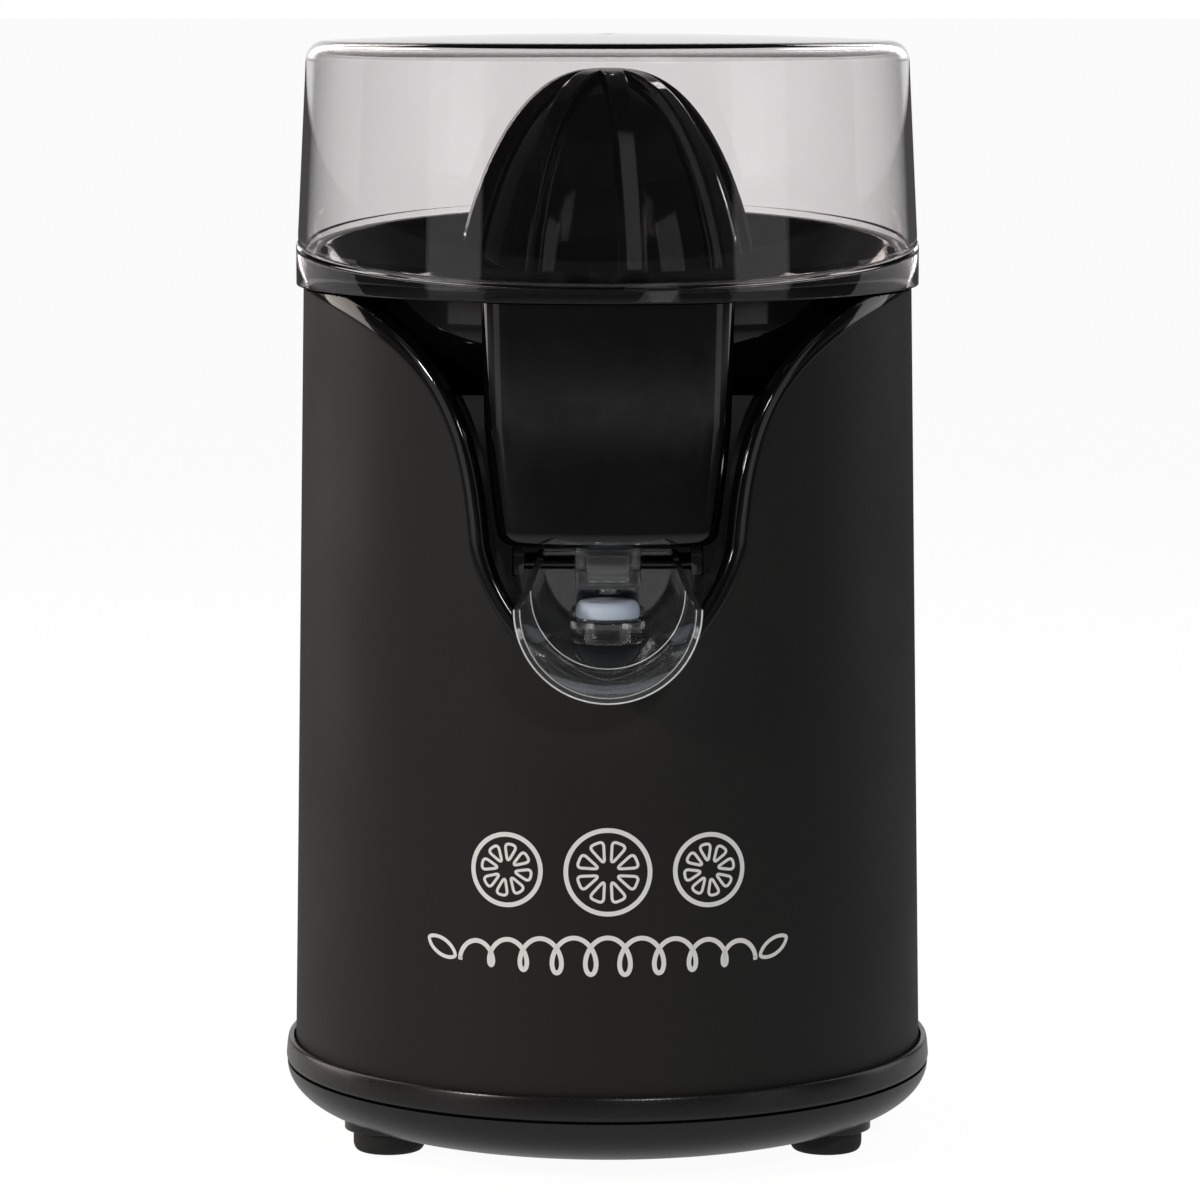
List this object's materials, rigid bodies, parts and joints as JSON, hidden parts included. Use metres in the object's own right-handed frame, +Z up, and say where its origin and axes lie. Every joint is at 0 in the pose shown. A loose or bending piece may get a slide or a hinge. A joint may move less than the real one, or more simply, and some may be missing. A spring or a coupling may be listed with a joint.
{
  "type": "citrus press juicer",
  "caption": "Upright drum-shaped electric citrus press with a ribbed reamer under a clear lid, a juice bowl and a clear tilting drip-stop spout.",
  "frame": {"origin": "on the drum's vertical axis, at the level of the table the feet stand on", "axes": "+Z up, -Y towards the spout and the user, +X to the user's right"},
  "size_m": [0.165, 0.1939, 0.279],
  "materials": {
    "base_plastic": "satin moulded",
    "rubber": "matt",
    "screw_steel": "zinc plated",
    "drum_paint": "matt powder coat",
    "gloss_black": "high gloss",
    "cream_plastic": "moulded",
    "gear_plastic": "moulded acetal",
    "lamination": "stacked sheet",
    "copper": "enamelled winding",
    "steel": "ground",
    "bronze": "sintered",
    "switch_plastic": "moulded",
    "button_plastic": "moulded",
    "clear_plastic": "clear moulded",
    "smoke_plastic": "lightly smoked clear",
    "silicone": "translucent"
  },
  "bodies": {
    "housing": {"base_pan": "base_plastic", "base_ring": "base_plastic", "feet": "rubber", "base_screws": "screw_steel", "cord_gland": "rubber", "terminal_block": "cream_plastic", "body_sleeve": "drum_paint", "collar": "gloss_black", "front_panel": "gloss_black", "chassis": "cream_plastic", "gearbox_housing": "cream_plastic", "gearbox_cover": "cream_plastic", "gearbox_screws": "screw_steel", "spindle_bush": "bronze", "idler_axle": "steel", "stator": "lamination", "coil": "copper", "upper_bracket": "steel", "lower_bracket": "steel", "motor_screws": "screw_steel", "switch_body": "switch_plastic", "lever_pin": "steel"},
    "motor_rotor": {"rotor": "lamination", "motor_shaft": "steel", "motor_pinion": "bronze"},
    "stage": {"compound_gear": "gear_plastic"},
    "drive": {"output_gear": "gear_plastic", "return_spring": "steel"},
    "drive_spindle": {"spindle": "steel", "spindle_clip": "switch_plastic"},
    "press_cone": {"reamer": "gloss_black"},
    "button": {"switch_button": "button_plastic"},
    "lever": {"switch_lever": "steel"},
    "juice_bowl": {"bowl": "gloss_black", "bowl_chute": "gloss_black", "nozzle": "clear_plastic", "spout_pin": "gloss_black"},
    "tilt_spout": {"spout": "clear_plastic", "drip_plug": "silicone"},
    "sieve": {"strainer": "gloss_black"},
    "cover": {"lid": "smoke_plastic"}
  },
  "joints": [
    {"name": "drive_spin", "type": "hinge", "parent": "housing", "child": "drive", "pos_m": [0, 0, 0.169], "axis": [0, 0, 1], "continuous": true},
    {"name": "stage_spin", "type": "hinge", "parent": "housing", "child": "stage", "pos_m": [0, 0.03, 0.155], "axis": [0, 0, 1], "continuous": true},
    {"name": "rotor_spin", "type": "hinge", "parent": "housing", "child": "motor_rotor", "pos_m": [0, 0.005, 0.112], "axis": [0, 0, 1], "continuous": true},
    {"name": "cone_press", "type": "slide", "parent": "drive", "child": "drive_spindle", "axis": [0, 0, 1], "range_m": [-0.003, 0], "stiffness_N_per_m": 1200, "springref_m": 0.004, "deforming": ["return_spring"]},
    {"name": "reamer_lift", "type": "slide", "parent": "drive_spindle", "child": "press_cone", "axis": [0, 0, 1], "range_m": [0, 0.09]},
    {"name": "lever_swing", "type": "hinge", "parent": "housing", "child": "lever", "pos_m": [0, -0.02, 0.16475], "axis": [1, 0, 0], "range_deg": [-8.9, 0.5]},
    {"name": "button_travel", "type": "slide", "parent": "housing", "child": "button", "axis": [0, 0, 1], "range_m": [-0.0013, 0]},
    {"name": "bowl_lift", "type": "slide", "parent": "housing", "child": "juice_bowl", "axis": [0, 0, 1], "range_m": [0, 0.06]},
    {"name": "spout_tilt", "type": "hinge", "parent": "juice_bowl", "child": "tilt_spout", "pos_m": [0, -0.057, 0.1515], "axis": [-1, 0, 0], "range_deg": [0, 6.5]},
    {"name": "strainer_lift", "type": "slide", "parent": "juice_bowl", "child": "sieve", "axis": [0, 0, 1], "range_m": [0, 0.015]},
    {"name": "lid_lift", "type": "slide", "parent": "juice_bowl", "child": "cover", "axis": [0, 0, 1], "range_m": [0, 0.1]}
  ],
  "couplings": [
    {"joint": "stage_spin", "follows": "drive_spin", "ratio": -4},
    {"joint": "rotor_spin", "follows": "drive_spin", "ratio": 16},
    {"joint": "lever_swing", "follows": "cone_press", "rad_per_m": 50},
    {"joint": "button_travel", "follows": "cone_press", "ratio": 0.4},
    {"joint": "reamer_lift", "follows": "lid_lift", "ratio": 0.9},
    {"joint": "strainer_lift", "follows": "lid_lift", "ratio": 0.15},
    {"joint": "bowl_lift", "follows": "lid_lift", "ratio": 0.6}
  ]
}
